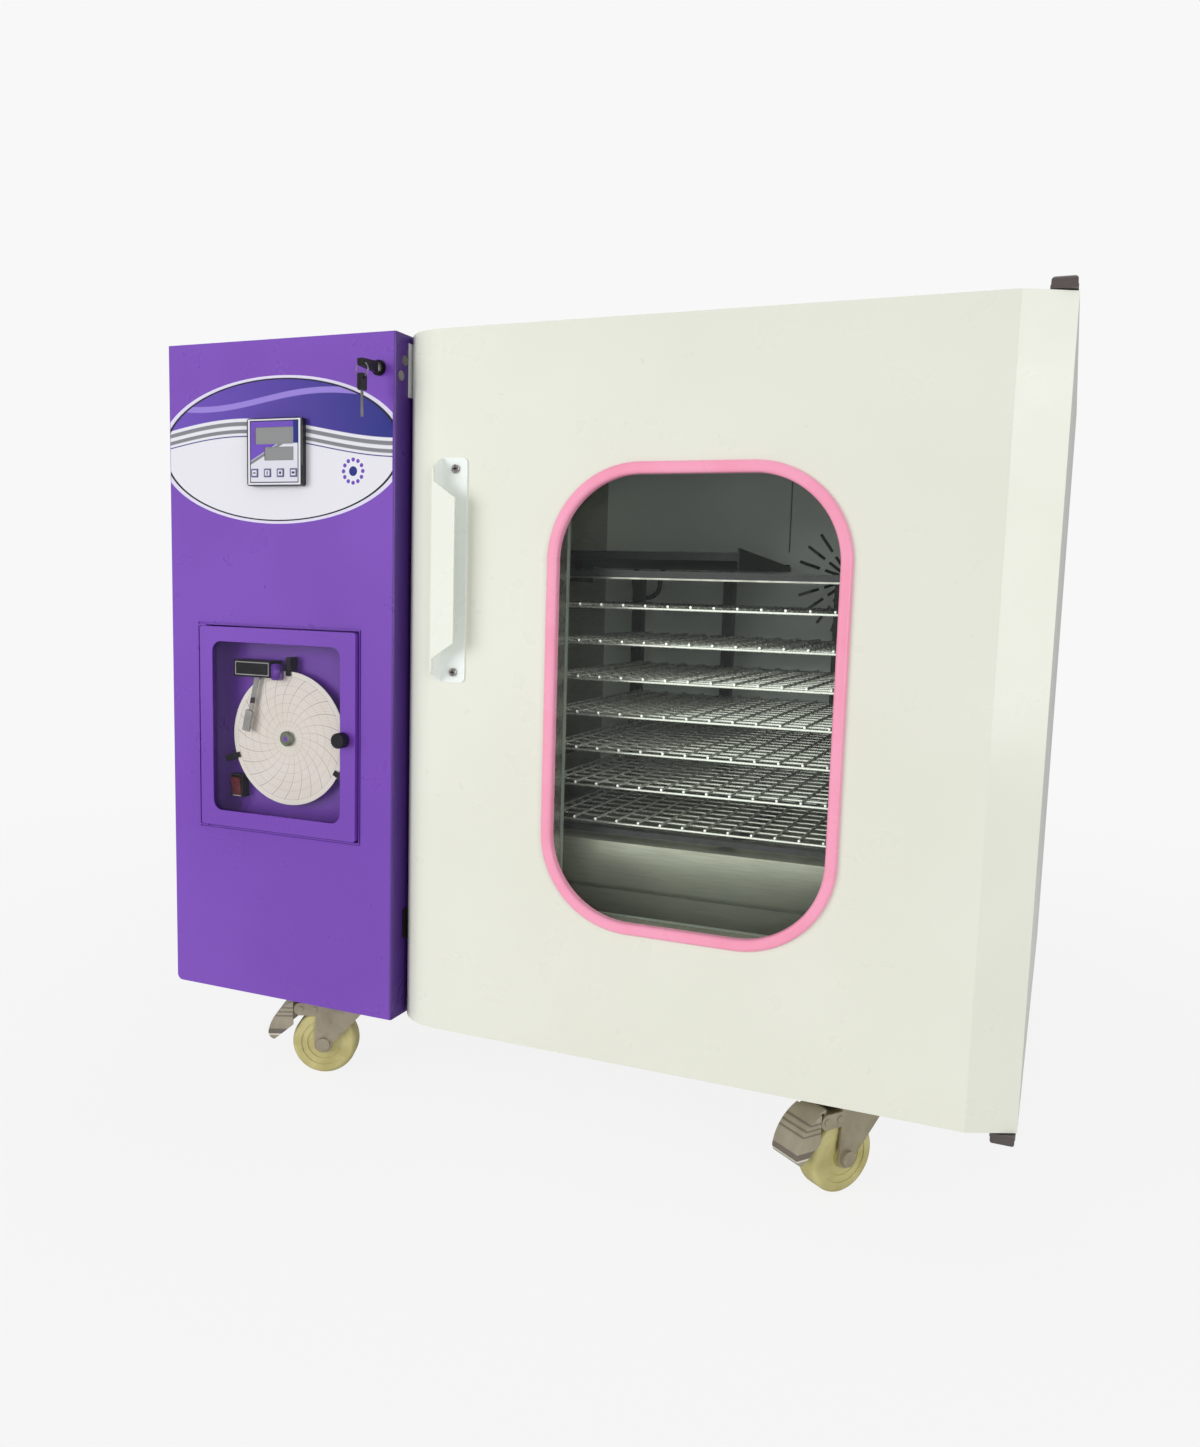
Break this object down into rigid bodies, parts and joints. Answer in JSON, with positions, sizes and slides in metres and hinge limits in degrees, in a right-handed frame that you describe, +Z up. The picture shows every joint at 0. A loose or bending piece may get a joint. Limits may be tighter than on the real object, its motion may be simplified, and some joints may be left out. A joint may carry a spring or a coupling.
{
  "type": "platelet agitator with incubator cabinet",
  "caption": "Cooled cabinet on castors with a glazed door, wire shelves on a rocking rack, and a side bay with controller, chart recorder and lock.",
  "frame": {"origin": "on the floor, under the middle of the outer box", "axes": "+X to the right seen from the front, +Y from the front to the back, +Z up"},
  "size_m": [0.946, 0.7294, 0.8455],
  "materials": {
    "cabinet_white": "orange-peel powder coat",
    "cover_purple": "orange-peel powder coat",
    "stainless": "brushed",
    "foam": "closed-cell foam",
    "label_film": "glossy printed film",
    "dark_plastic": "fine satin",
    "lock_chrome": "plated",
    "hinge_grey": "dark primer",
    "motor_alloy": "cast",
    "unit_black": "gloss black",
    "duct_grey": "satin",
    "coil_alloy": "mill finish",
    "box_grey": "satin",
    "cable_black": "satin",
    "castor_steel": "zinc plated, worn",
    "pink_rubber": "satin",
    "clear_glass": "clear",
    "spacer_alloy": "mill finish",
    "bright_steel": "zinc plated",
    "gasket_grey": "soft",
    "white_plastic": "plain",
    "clear_pane": "clear",
    "chart_paper": "matte",
    "pen_alloy": "satin",
    "rack_dark": "satin black",
    "key_white": "plain",
    "wire_steel": "plated wire",
    "wheel_nylon": "smooth nylon"
  },
  "bodies": {
    "root": {"cabinet_shell": "cabinet_white", "chamber_liner": "stainless", "insulation": "foam", "control_cover": "cover_purple", "graphic_label": "label_film", "controller_case": "dark_plastic", "cover_fittings": "lock_chrome", "recorder_case": "cover_purple", "recorder_fittings": "dark_plastic", "hinge_brackets": "hinge_grey", "agitator_base": "stainless", "slide_rails": "stainless", "agitator_motor": "motor_alloy", "condensing_unit": "unit_black", "duct_panel": "duct_grey", "evaporator": "coil_alloy", "control_box": "box_grey", "mains_inlet": "dark_plastic", "sensor_cable": "cable_black", "castor_mounts": "castor_steel"},
    "door": {"door_shell": "cabinet_white", "door_core": "foam", "window_trim": "pink_rubber", "window_panes": "clear_glass", "window_spacer": "spacer_alloy", "door_handle": "cabinet_white", "handle_screws": "bright_steel", "door_gasket": "gasket_grey", "hinge_bushes": "white_plastic"},
    "recorder_door": {"recorder_door": "cover_purple", "recorder_window": "clear_pane"},
    "recorder_knob": {"recorder_knob": "dark_plastic"},
    "lock_key": {"lock_key": "dark_plastic"},
    "spare_key": {"spare_key": "dark_plastic"},
    "recorder_switch": {"recorder_switch": "dark_plastic"},
    "chart_disc": {"chart_disc": "chart_paper"},
    "pen_arm": {"pen_arm": "pen_alloy"},
    "rack_frame": {"rack_frame": "rack_dark"},
    "crank": {"crank": "bright_steel"},
    "connecting_rod": {"connecting_rod": "bright_steel"},
    "evaporator_fan": {"evaporator_fan": "dark_plastic"},
    "controller_key_1": {"controller_key_1": "key_white"},
    "controller_key_2": {"controller_key_2": "key_white"},
    "controller_key_3": {"controller_key_3": "key_white"},
    "controller_key_4": {"controller_key_4": "key_white"},
    "shelf_1": {"shelf_1": "wire_steel"},
    "shelf_2": {"shelf_2": "wire_steel"},
    "shelf_3": {"shelf_3": "wire_steel"},
    "shelf_4": {"shelf_4": "wire_steel"},
    "shelf_5": {"shelf_5": "wire_steel"},
    "shelf_6": {"shelf_6": "wire_steel"},
    "shelf_7": {"shelf_7": "wire_steel"},
    "fork_front_left": {"fork_front_left": "castor_steel"},
    "pedal_front_left": {"pedal_front_left": "castor_steel"},
    "wheel_front_left": {"wheel_front_left": "wheel_nylon"},
    "wheel_rear_left": {"wheel_rear_left": "wheel_nylon"},
    "fork_front_right": {"fork_front_right": "castor_steel"},
    "pedal_front_right": {"pedal_front_right": "castor_steel"},
    "wheel_front_right": {"wheel_front_right": "wheel_nylon"},
    "wheel_rear_right": {"wheel_rear_right": "wheel_nylon"}
  },
  "joints": [
    {"name": "door_hinge", "type": "hinge", "parent": "root", "child": "door", "pos_m": [0.461, -0.30425, 0.4675], "axis": [0, 0, 1], "range_deg": [0, 110]},
    {"name": "recorder_door_hinge", "type": "hinge", "parent": "root", "child": "recorder_door", "pos_m": [-0.4252, -0.32875, 0.4095], "axis": [0, 0, -1], "range_deg": [0, 100]},
    {"name": "recorder_knob_turn", "type": "hinge", "parent": "recorder_door", "child": "recorder_knob", "pos_m": [-0.235, -0.32825, 0.4072], "axis": [0, -1, 0], "range_deg": [0, 90]},
    {"name": "lock_turn", "type": "hinge", "parent": "root", "child": "lock_key", "pos_m": [-0.1947, -0.32825, 0.7985], "axis": [0, 1, 0], "range_deg": [0, 90]},
    {"name": "spare_key_swing", "type": "hinge", "parent": "lock_key", "child": "spare_key", "pos_m": [-0.1947, -0.35925, 0.7985], "axis": [1, 0, 0], "range_deg": [-60, 25]},
    {"name": "recorder_switch_tilt", "type": "hinge", "parent": "root", "child": "recorder_switch", "pos_m": [-0.3955, -0.31075, 0.3398], "axis": [-1, 0, 0], "range_deg": [0, 16]},
    {"name": "chart_turn", "type": "hinge", "parent": "root", "child": "chart_disc", "pos_m": [-0.3225, -0.31325, 0.4], "axis": [0, 1, 0], "continuous": true},
    {"name": "pen_swing", "type": "hinge", "parent": "root", "child": "pen_arm", "pos_m": [-0.3595, -0.31925, 0.475], "axis": [0, 1, 0], "range_deg": [-20, 14]},
    {"name": "rack_slide", "type": "slide", "parent": "root", "child": "rack_frame", "axis": [1, 0, 0], "range_m": [-0.019, 0.019]},
    {"name": "crank_turn", "type": "hinge", "parent": "root", "child": "crank", "pos_m": [0.075, -0.07425, 0.266], "axis": [0, 0, 1], "continuous": true},
    {"name": "rod_swing", "type": "hinge", "parent": "rack_frame", "child": "connecting_rod", "pos_m": [0.16297, -0.07425, 0.2814], "axis": [0, 0, 1], "range_deg": [0, 24.37]},
    {"name": "fan_spin", "type": "hinge", "parent": "root", "child": "evaporator_fan", "pos_m": [0.217, 0.15875, 0.6], "axis": [0, 1, 0], "continuous": true},
    {"name": "controller_key_1_press", "type": "slide", "parent": "root", "child": "controller_key_1", "axis": [0, 1, 0], "range_m": [0, 0.0006], "stiffness_N_per_m": 500},
    {"name": "controller_key_2_press", "type": "slide", "parent": "root", "child": "controller_key_2", "axis": [0, 1, 0], "range_m": [0, 0.0006], "stiffness_N_per_m": 500},
    {"name": "controller_key_3_press", "type": "slide", "parent": "root", "child": "controller_key_3", "axis": [0, 1, 0], "range_m": [0, 0.0006], "stiffness_N_per_m": 500},
    {"name": "controller_key_4_press", "type": "slide", "parent": "root", "child": "controller_key_4", "axis": [0, 1, 0], "range_m": [0, 0.0006], "stiffness_N_per_m": 500},
    {"name": "shelf_1_slide", "type": "slide", "parent": "rack_frame", "child": "shelf_1", "axis": [0, -1, 0], "range_m": [0, 0.055]},
    {"name": "shelf_2_slide", "type": "slide", "parent": "rack_frame", "child": "shelf_2", "axis": [0, -1, 0], "range_m": [0, 0.055]},
    {"name": "shelf_3_slide", "type": "slide", "parent": "rack_frame", "child": "shelf_3", "axis": [0, -1, 0], "range_m": [0, 0.055]},
    {"name": "shelf_4_slide", "type": "slide", "parent": "rack_frame", "child": "shelf_4", "axis": [0, -1, 0], "range_m": [0, 0.055]},
    {"name": "shelf_5_slide", "type": "slide", "parent": "rack_frame", "child": "shelf_5", "axis": [0, -1, 0], "range_m": [0, 0.055]},
    {"name": "shelf_6_slide", "type": "slide", "parent": "rack_frame", "child": "shelf_6", "axis": [0, -1, 0], "range_m": [0, 0.055]},
    {"name": "shelf_7_slide", "type": "slide", "parent": "rack_frame", "child": "shelf_7", "axis": [0, -1, 0], "range_m": [0, 0.055]},
    {"name": "swivel_front_left", "type": "hinge", "parent": "root", "child": "fork_front_left", "pos_m": [-0.272, -0.26225, 0.1], "axis": [0, 0, 1], "continuous": true},
    {"name": "pedal_front_left_press", "type": "hinge", "parent": "fork_front_left", "child": "pedal_front_left", "pos_m": [-0.32355, -0.28413, 0.079], "axis": [0.3907, -0.9205, 0], "range_deg": [0, 15]},
    {"name": "wheel_front_left_roll", "type": "hinge", "parent": "fork_front_left", "child": "wheel_front_left", "pos_m": [-0.29869, -0.27358, 0.0375], "axis": [0.3907, -0.9205, 0], "continuous": true},
    {"name": "swivel_front_right", "type": "hinge", "parent": "root", "child": "fork_front_right", "pos_m": [0.325, -0.26225, 0.1], "axis": [0, 0, 1], "continuous": true},
    {"name": "pedal_front_right_press", "type": "hinge", "parent": "fork_front_right", "child": "pedal_front_right", "pos_m": [0.2913, -0.30697, 0.079], "axis": [0.7986, -0.6018, 0], "range_deg": [0, 15]},
    {"name": "wheel_front_right_roll", "type": "hinge", "parent": "fork_front_right", "child": "wheel_front_right", "pos_m": [0.30755, -0.28541, 0.0375], "axis": [0.7986, -0.6018, 0], "continuous": true},
    {"name": "wheel_rear_left_roll", "type": "hinge", "parent": "root", "child": "wheel_rear_left", "pos_m": [-0.272, 0.29575, 0.0375], "axis": [-1, 0, 0], "continuous": true},
    {"name": "wheel_rear_right_roll", "type": "hinge", "parent": "root", "child": "wheel_rear_right", "pos_m": [0.325, 0.29575, 0.0375], "axis": [-1, 0, 0], "continuous": true}
  ]
}
